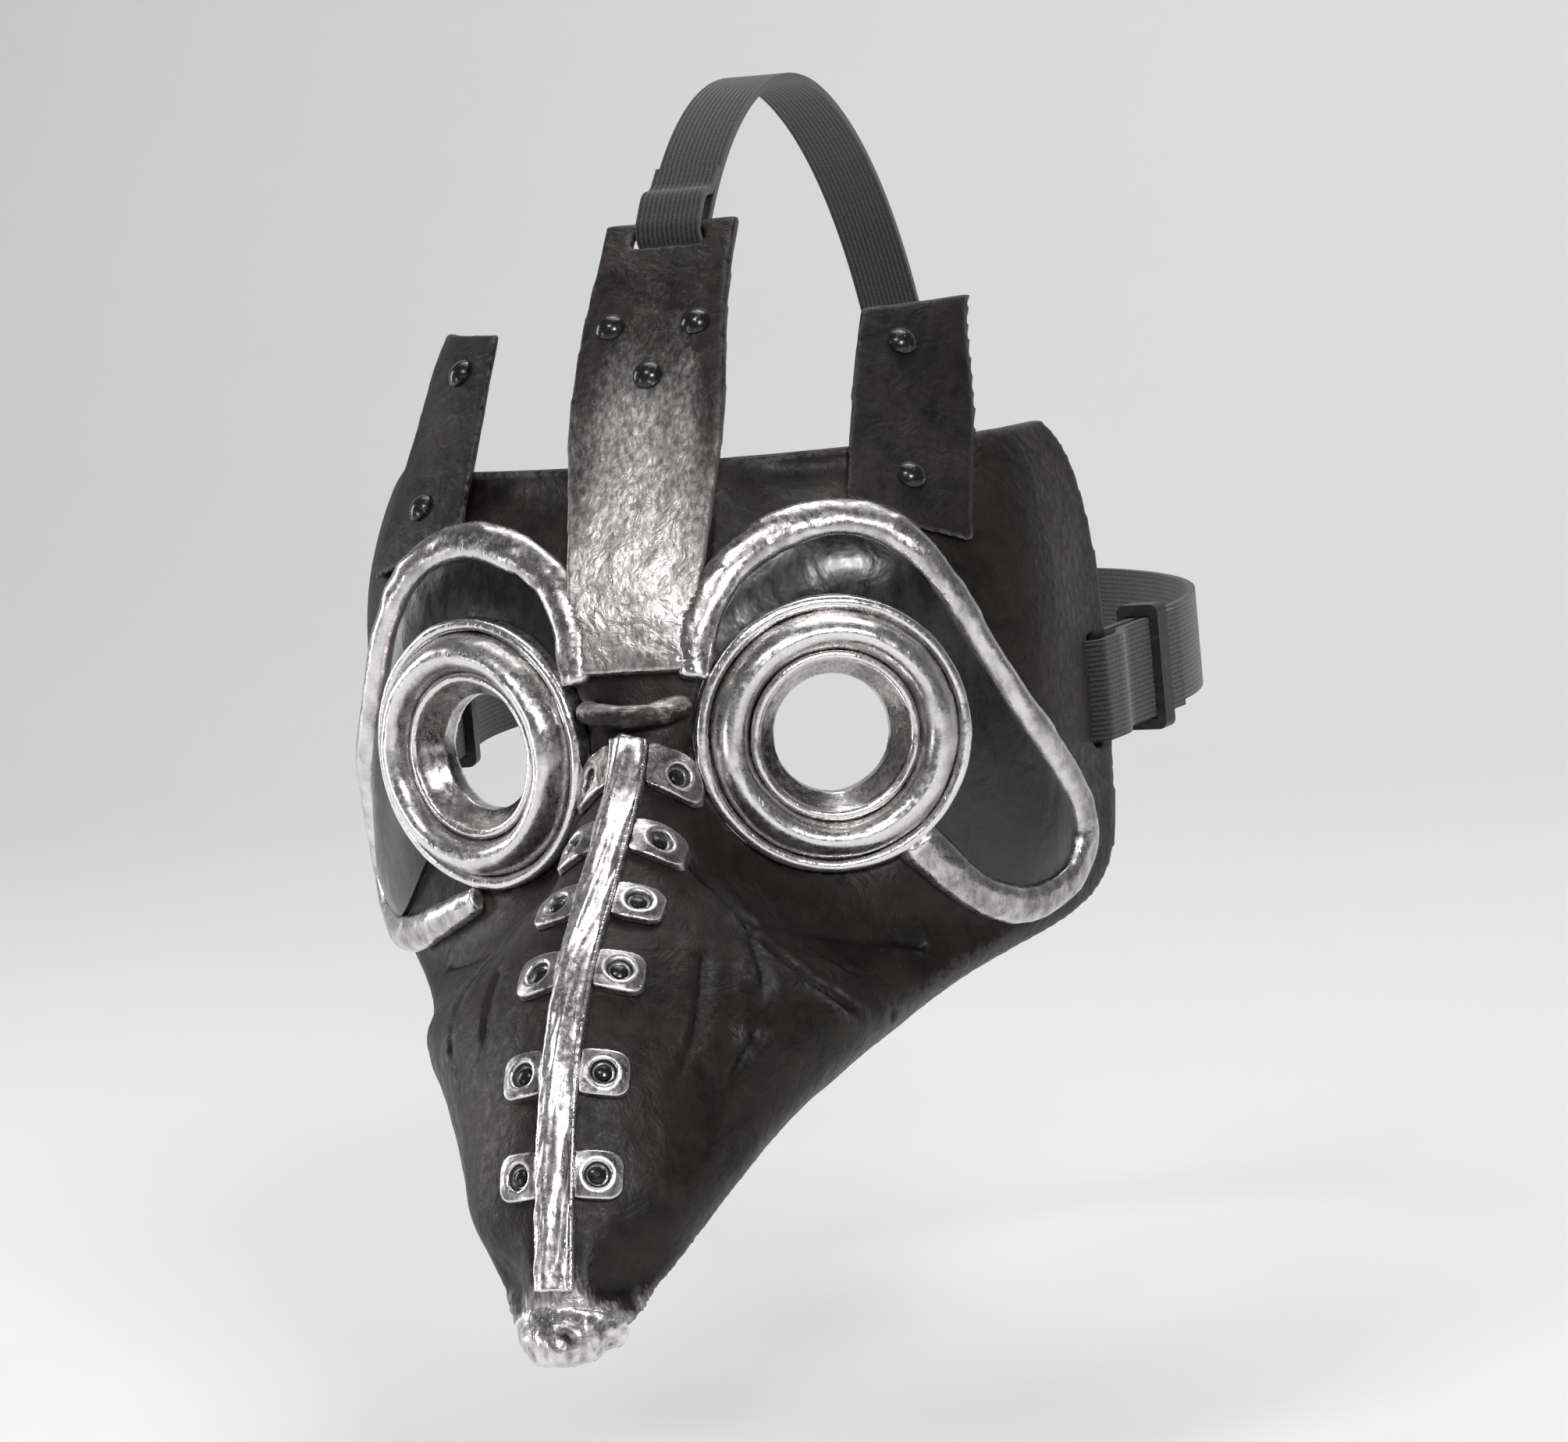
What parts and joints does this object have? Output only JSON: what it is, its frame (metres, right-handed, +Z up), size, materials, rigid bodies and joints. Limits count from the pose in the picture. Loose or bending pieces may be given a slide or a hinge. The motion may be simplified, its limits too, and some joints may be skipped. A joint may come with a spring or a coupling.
{
  "type": "plague doctor mask",
  "caption": "Half mask with a hooked hollow beak, round open goggle rings, silver brow frames, a tabbed spine ridge, studded forehead straps and an elastic harness.",
  "frame": {"origin": "midway between the centres of the two eye holes, on the plane through both hole centres", "axes": "+X to the wearer's left, +Y back towards the wearer's head, +Z up; the mask faces -Y and the beak hangs down towards -Z"},
  "size_m": [0.1582, 0.3007, 0.2232],
  "materials": {
    "skin_leather": "black leather look, creased and dry-brushed with silver on the high spots",
    "strap_leather": "black leather look, brushed with silver at the lower end of the centre strap",
    "antique_silver": "silver paint, scratched and darkened in the hollows",
    "panel_gloss": "smooth glossy black",
    "dark_studs": "dark domed metal, worn bright on the crown",
    "pad_foam": "black cloth-faced foam",
    "woven_elastic": "black ribbed elastic webbing",
    "slider_plastic": "matte black plastic"
  },
  "bodies": {
    "mask": {"face_shell": "skin_leather", "beak_tip": "antique_silver", "centre_strap": "strap_leather", "centre_strap_studs": "dark_studs", "bridge_roll": "strap_leather", "spine_ridge": "antique_silver", "brow_pad": "pad_foam", "back_band": "woven_elastic", "crown_band": "woven_elastic", "eye_bezel_left": "antique_silver", "eye_cup_left": "antique_silver", "eye_flange_left": "antique_silver", "brow_frame_left": "antique_silver", "eye_panel_left": "panel_gloss", "side_strap_left": "strap_leather", "side_strap_studs_left": "dark_studs", "spine_tabs_left": "antique_silver", "tab_rivets_left": "dark_studs", "eye_bezel_right": "antique_silver", "eye_cup_right": "antique_silver", "eye_flange_right": "antique_silver", "brow_frame_right": "antique_silver", "eye_panel_right": "panel_gloss", "side_strap_right": "strap_leather", "side_strap_studs_right": "dark_studs", "spine_tabs_right": "antique_silver", "tab_rivets_right": "dark_studs"},
    "left_slider": {"slider_left": "slider_plastic"},
    "right_slider": {"slider_right": "slider_plastic"}
  },
  "joints": [
    {"name": "left_slider_slide", "type": "slide", "parent": "mask", "child": "left_slider", "axis": [0.1478, 0.989, 0], "range_m": [-0.0095, 0.0095]},
    {"name": "right_slider_slide", "type": "slide", "parent": "mask", "child": "right_slider", "axis": [-0.1478, 0.989, 0], "range_m": [-0.0095, 0.0095]}
  ]
}
